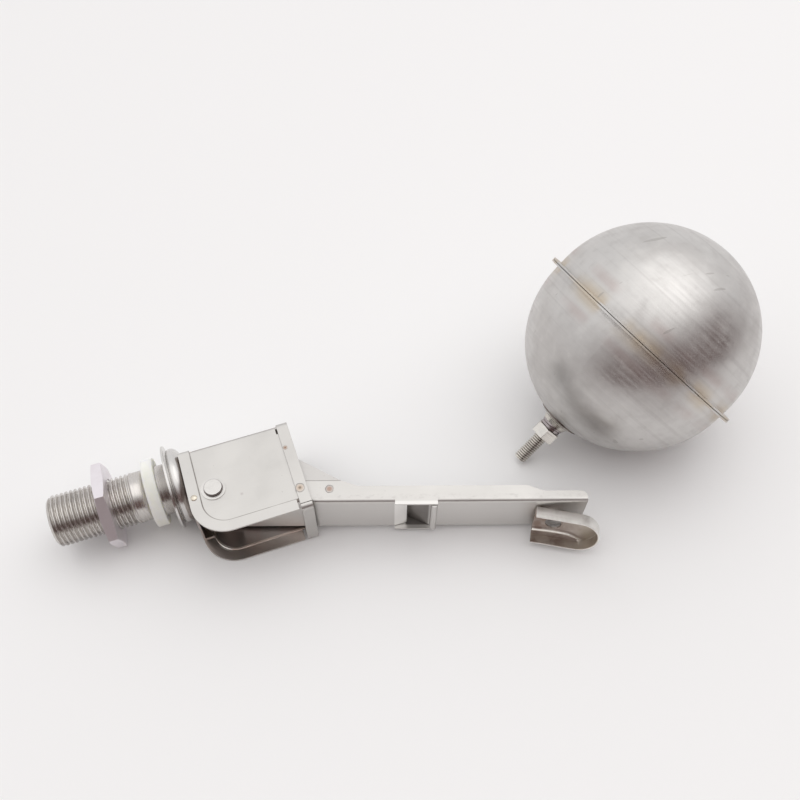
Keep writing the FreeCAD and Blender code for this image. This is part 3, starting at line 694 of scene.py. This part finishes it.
def clip_bead(material):
    """The weld between the clip's back and the arm's web."""
    middle, half_width, reach, sunk, thinnest = 1.6 * MM, 1.45 * MM, 7.8 * MM, 0.3 * MM, 0.1 * MM
    into_arm = on_arm.inverted() @ on_clip
    sides, steps = 20, 48
    vertices = []
    for step in range(steps + 1):
        z = reach * (2 * step / steps - 1)
        at_back = into_arm @ Vector((middle, 0, z))
        to_web = (arm_web_y - at_back.y) / into_arm[1][1]
        low, high = -sunk, max(thinnest, to_web)
        lump = 1 + 0.1 * math.sin(5.1 * z / MM) + 0.06 * math.sin(2.3 * z / MM + 1)
        for side in range(sides):
            angle = 2 * math.pi * side / sides
            out = half_width * lump * math.cos(angle)
            y = (low + high) / 2 + (high - low) / 2 * math.sin(angle)
            vertices.append(on_clip @ Vector((middle + out, y, z)))
    faces = swept_faces(sides, steps)
    new_piece("clip_bead", vertices, faces, material, "arm")


def coiled_washer(material):
    """The spring washer: one turn of square wire, cut across, its ends sprung slightly apart."""
    low, high = reach_along_stud("spring_washer")
    outer, inner, gap = 4.7 * MM, washer_bore_radius, math.radians(9)
    steps, lift, edge = 96, 0.12 * MM, 0.18 * MM
    section = [(inner, edge), (inner + edge, 0), (outer - edge, 0), (outer, edge)]
    vertices = []
    for step in range(steps + 1):
        share = step / steps
        angle = gap / 2 + (2 * math.pi - gap) * share
        bottom = low + lift * share
        top = high - lift * (1 - share)
        loop = [(r, bottom + inset) for r, inset in section]
        loop += [(r, top - inset) for r, inset in reversed(section)]
        vertices += [on_float @ Vector((x, r * math.cos(angle), r * math.sin(angle))) for r, x in loop]
    faces = swept_faces(2 * len(section), steps)
    piece = new_piece("coiled_washer", vertices, faces, material, "float")
    piece.data.set_sharp_from_angle(angle=math.radians(35))
    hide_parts("spring_washer")


def rounded_washer(material):
    """The flat washer, with the rolled edge of a stamping."""
    low, high = reach_along_stud("flat_washer")
    outer, edge = 5.0 * MM, 0.22 * MM
    near_edge = 0.3 * edge
    rings = [(low, washer_bore_radius), (low, outer - edge), (low + near_edge, outer - near_edge),
             (low + edge, outer), (high - edge, outer), (high - near_edge, outer - near_edge),
             (high, outer - edge), (high, washer_bore_radius)]
    vertices, faces = lathe(rings, 72, on_float, True)
    piece = new_piece("rounded_washer", vertices, faces, material, "float")
    piece.data.set_sharp_from_angle(angle=math.radians(50))
    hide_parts("flat_washer")


def clip_section(share, top):
    """The clip's cross-section from its middle line outwards, as (distance out, height out of the web).

    share runs from 0 at the arm's end of the clip to 1 at its nose. On the lower side a pressed ridge stands
    in from the wall, with a trough between them, and it sweeps out to the wall as it nears the nose."""
    half, wall, gauge = clip_half_height, clip_depth, sheet_gauge
    inner_wall = half - gauge
    inward = 0.0 if top else ridge_width(share)
    ridge = inner_wall - inward
    rise = 0.1 * MM if top else 1.15 * MM * min(1.0, inward / (1.5 * MM))
    floor = [(0.0, gauge), (ridge - 1.6 * MM, gauge), (ridge - 0.7 * MM, gauge + 0.3 * rise)]
    crest = [(ridge - 0.25 * MM, gauge + rise), (ridge + 0.12 * MM, gauge + rise + 0.05 * MM)]
    trough = [(ridge + 0.45 * inward + 0.2 * MM, gauge + 0.25 * MM), (inner_wall, gauge + 0.9 * MM)]
    lip = [(inner_wall, wall - 0.12 * MM), (inner_wall + 0.12 * MM, wall), (half - 0.15 * MM, wall),
           (half, wall - 0.15 * MM)]
    back = [(half, 1.2 * MM), (half - 0.35 * MM, 0.35 * MM), (half - 1.2 * MM, 0.0), (0.0, 0.0)]
    return floor + crest + trough + lip + back


def ridge_width(share):
    """How far the ridge stands in from the lower wall: wide by the arm, gone at the nose."""
    turning, gone, widest = 0.42, 0.8, 3.6 * MM
    if share <= turning:
        return widest * (0.8 + 0.2 * math.sin(math.pi * share / turning / 1.6))
    fade = min(1.0, (share - turning) / (gone - turning))
    return widest * 0.98 * (1 - fade * fade * (3 - 2 * fade))


def drill(piece, radius, reach, place):
    """Drills a hole through the piece, along the axis X of place, and leaves no modifier behind."""
    vertices, faces = lathe([(-reach, radius), (reach, radius)], 64, place, False)
    mesh = bpy.data.meshes.new("drill")
    mesh.from_pydata(vertices, [], faces)
    cutter = bpy.data.objects.new("drill", mesh)
    bpy.context.scene.collection.objects.link(cutter)
    cut = piece.modifiers.new("drill", "BOOLEAN")
    cut.operation = "DIFFERENCE"
    cut.object = cutter
    bpy.context.view_layer.update()
    cut_piece = piece.evaluated_get(bpy.context.evaluated_depsgraph_get())
    drilled = bpy.data.meshes.new_from_object(cut_piece)
    piece.modifiers.clear()
    piece.data = drilled
    bpy.data.objects.remove(cutter)


def pressed_clip(material):
    """The clip for the float's stud: a walled tray with a half-round nose, a ridge and a drilled hole."""
    straight_steps, nose_steps = 30, 40
    nose_length = math.pi / 2 * clip_half_height
    length = clip_straight + nose_length
    stations = []
    for step in range(straight_steps + 1):
        x = clip_straight * step / straight_steps
        stations.append((x, -math.pi / 2, x / length, False))
    for step in range(1, nose_steps):
        angle = -math.pi / 2 + math.pi * step / nose_steps
        share = (clip_straight + nose_length * min(1.0, 2 * step / nose_steps)) / length
        stations.append((clip_straight, angle, share, angle > 0))
    for step in range(straight_steps + 1):
        stations.append((clip_straight * (1 - step / straight_steps), math.pi / 2, 0, True))
    vertices = []
    for x, angle, share, top in stations:
        for out, height in clip_section(share, top):
            vertices.append(on_clip @ Vector((x + out * math.cos(angle), -height, out * math.sin(angle))))
    size = len(clip_section(0, True))
    faces = []
    for station in range(len(stations) - 1):
        a, b = station * size, (station + 1) * size
        faces += [(a + i, a + i + 1, b + i + 1, b + i) for i in range(size - 1)]
    first = list(range(size))
    last = list(range((len(stations) - 1) * size, len(stations) * size))
    faces += [tuple(first), tuple(reversed(last))]
    piece = new_piece("pressed_clip", vertices, faces, material, "arm")
    join = piece.modifiers.new("join", "WELD")
    join.merge_threshold = 1e-6
    through_floor = on_clip @ Matrix.Translation((clip_hole_x, 0, 0)) @ Matrix.Rotation(math.pi / 2, 4, "Z")
    drill(piece, clip_hole_radius, clip_depth, through_floor)
    piece.data.set_sharp_from_angle(angle=math.radians(42))
    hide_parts("float_clip")


# Assign finishes to the CAD nodes

pipe_metal = turned_steel("pipe_metal", (0.6, 0.575, 0.55), 0.24, Matrix.Identity(4))
stud_metal = turned_steel("stud_metal", (0.74, 0.715, 0.67), 0.2, on_float,
                          thread=(stud_radius, reach_along_stud("float_stud")[1]))
pin_metal = turned_steel("pin_metal", (0.62, 0.605, 0.585), 0.3, on_pin,
                         shade_rings=[(3.58 * MM, 0.2 * MM)])
boss_metal = turned_steel("boss_metal", (0.66, 0.63, 0.58), 0.26, on_float,
                          shade_rings=[(9.5 * MM, 0.5 * MM)])
rivet_metal = turned_steel("rivet_metal", (0.72, 0.66, 0.56), 0.26, on_pin)
weld_metal = turned_steel("weld_metal", (0.42, 0.36, 0.31), 0.35, on_clip)
washer_metal = turned_steel("washer_metal", (0.4, 0.36, 0.36), 0.22, on_float)
sheet = housing_steel()
strip = strip_steel()
arm = arm_steel()
clip = clip_steel()
drum = drum_steel()
ball = ball_steel()
seat_metal = brass()

finishes = {
    "housing_shell": sheet, "end_wall": sheet, "end_wall_rivets": rivet_metal, "end_frame": strip,
    "pivot_pin": pin_metal, "pin_washers": pin_metal, "pivot_spacers": pin_metal,
    "mounting_flange": drum, "body_cap": drum, "lock_nut": nut_metal(), "seal_gasket": silicone(),
    "valve_seat": seat_metal, "plunger": seat_metal, "seal_disc": nitrile(),
    "arm_channel": arm, "inner_lever": lever_steel(), "push_pin": pin_metal, "float_clip": clip,
    "ball_stud_half": ball, "ball_outer_half": ball, "ball_seam": ball, "stud_boss": boss_metal,
    "flat_washer": washer_metal, "spring_washer": washer_metal, "stud_nut": stud_metal,
    "inlet_pipe": pipe_metal, "float_stud": stud_metal,
}
for name, material in finishes.items():
    nodes[name].data.materials.clear()
    nodes[name].data.materials.append(material)

# Rounded edges on the pressed and machined nodes, in millimetres
edge_rounding = {
    "housing_shell": 0.1, "end_wall": 0.1, "end_frame": 0.12, "arm_channel": 0.12, "inner_lever": 0.12,
    "lock_nut": 0.3, "stud_nut": 0.14,
}
for name, width in edge_rounding.items():
    weld = nodes[name].modifiers.new("join", "WELD")
    weld.merge_threshold = 1e-6
    flatten = nodes[name].modifiers.new("flatten", "DECIMATE")
    flatten.decimate_type = "DISSOLVE"
    flatten.angle_limit = math.radians(0.6)
    bevel = nodes[name].modifiers.new("round", "BEVEL")
    bevel.width = width * MM
    bevel.segments = 3
    bevel.limit_method = "ANGLE"
    bevel.angle_limit = math.radians(38)
    bevel.use_clamp_overlap = True
    nodes[name].modifiers.new("shade", "WEIGHTED_NORMAL").weight = 80

threaded_pipe(pipe_metal)
spun_drum(drum)
threaded_stud(stud_metal)
coiled_washer(washer_metal)
rounded_washer(washer_metal)
pressed_clip(clip)
clip_bead(weld_metal)
seam_weld(ball)
both_sides(upper_weld, "strip_dot", 0.9 * MM, 0.45 * MM, strip, "valve_body", lying)
both_sides(lower_weld, "strip_weld", 1.9 * MM, 0.7 * MM, strip, "valve_body", lying)
both_sides(arm_weld, "arm_weld", 1.7 * MM, 0.8 * MM, arm, "arm", on_arm)


# Floor, light and camera

def studio_floor():
    """Pale paper, at the height the valve rests on."""
    half = 3.0
    mesh = bpy.data.meshes.new("floor")
    mesh.from_pydata([(-half, -half, table_z), (half, -half, table_z), (half, half, table_z),
                      (-half, half, table_z)], [], [(0, 1, 2, 3)])
    paper = Shader("floor_paper", (0.9, 0.895, 0.895), 0.6, 0.0)
    mesh.materials.append(paper.material)
    floor = bpy.data.objects.new("floor", mesh)
    bpy.context.scene.collection.objects.link(floor)


def studio_world():
    """A white surround, brighter overhead and dim low down in front, where the room is."""
    world = bpy.data.worlds.new("studio")
    world.use_nodes = True
    tree = world.node_tree
    background = tree.nodes["Background"]
    way = tree.nodes.new("ShaderNodeTexCoord")
    split = tree.nodes.new("ShaderNodeSeparateXYZ")
    tree.links.new(way.outputs["Generated"], split.inputs[0])

    def ranged(socket, low, high, out_low, out_high):
        made = tree.nodes.new("ShaderNodeMapRange")
        made.interpolation_type = "SMOOTHSTEP"
        for target, number in zip(made.inputs[1:5], (low, high, out_low, out_high)):
            target.default_value = number
        tree.links.new(socket, made.inputs[0])
        return made.outputs[0]

    front = ranged(split.outputs["Y"], -0.6, 0.1, 1.0, 0.0)
    low = ranged(split.outputs["Z"], 0.45, 0.93, 1.0, 0.0)
    both = tree.nodes.new("ShaderNodeMath")
    both.operation = "MULTIPLY"
    tree.links.new(front, both.inputs[0])
    tree.links.new(low, both.inputs[1])
    height = ranged(split.outputs["Z"], 0.55, 1.0, 0.0, 1.0)
    bright = tree.nodes.new("ShaderNodeMix")
    bright.data_type = "RGBA"
    bright.inputs[6].default_value = (0.92, 0.915, 0.92, 1)
    bright.inputs[7].default_value = (1.35, 1.34, 1.33, 1)
    tree.links.new(height, bright.inputs[0])
    dim = tree.nodes.new("ShaderNodeMix")
    dim.data_type = "RGBA"
    dim.inputs[7].default_value = (0.17, 0.118, 0.112, 1)
    tree.links.new(both.outputs[0], dim.inputs[0])
    tree.links.new(bright.outputs[2], dim.inputs[6])
    tree.links.new(dim.outputs[2], background.inputs["Color"])
    bpy.context.scene.world = world


def studio_light():
    """One large soft box overhead, a little to the right, aimed at the middle of the valve."""
    aim, distance = Vector((0.16, -0.02, 0.0)), 1.0
    light = bpy.data.lights.new("softbox", "AREA")
    light.shape = "DISK"
    light.size = 1.1
    light.energy = 1.0
    light.color = (1.0, 0.99, 0.975)
    softbox = bpy.data.objects.new("softbox", light)
    towards = Vector((0.49, 0.1, 0.87)).normalized()
    softbox.location = aim + towards * distance
    softbox.rotation_euler = towards.to_track_quat("Z", "Y").to_euler()
    bpy.context.scene.collection.objects.link(softbox)


def studio_camera():
    """The camera that took the photograph, as solved from the valve's outline."""
    place = Vector((79.65, -202.80, 302.73)) * MM
    heading, dip, roll = math.radians(18.267), math.radians(53.469), math.radians(1.346)
    data = bpy.data.cameras.new("camera")
    data.lens = 38.67
    data.clip_start = 0.01
    camera = bpy.data.objects.new("camera", data)
    turn = Matrix.Rotation(-heading, 4, "Z") @ Matrix.Rotation(math.pi / 2 - dip, 4, "X")
    camera.matrix_world = Matrix.Translation(place) @ turn @ Matrix.Rotation(-roll, 4, "Z")
    bpy.context.scene.collection.objects.link(camera)
    bpy.context.scene.camera = camera


studio_floor()
studio_world()
studio_light()
studio_camera()
bpy.context.scene.view_settings.view_transform = "Standard"
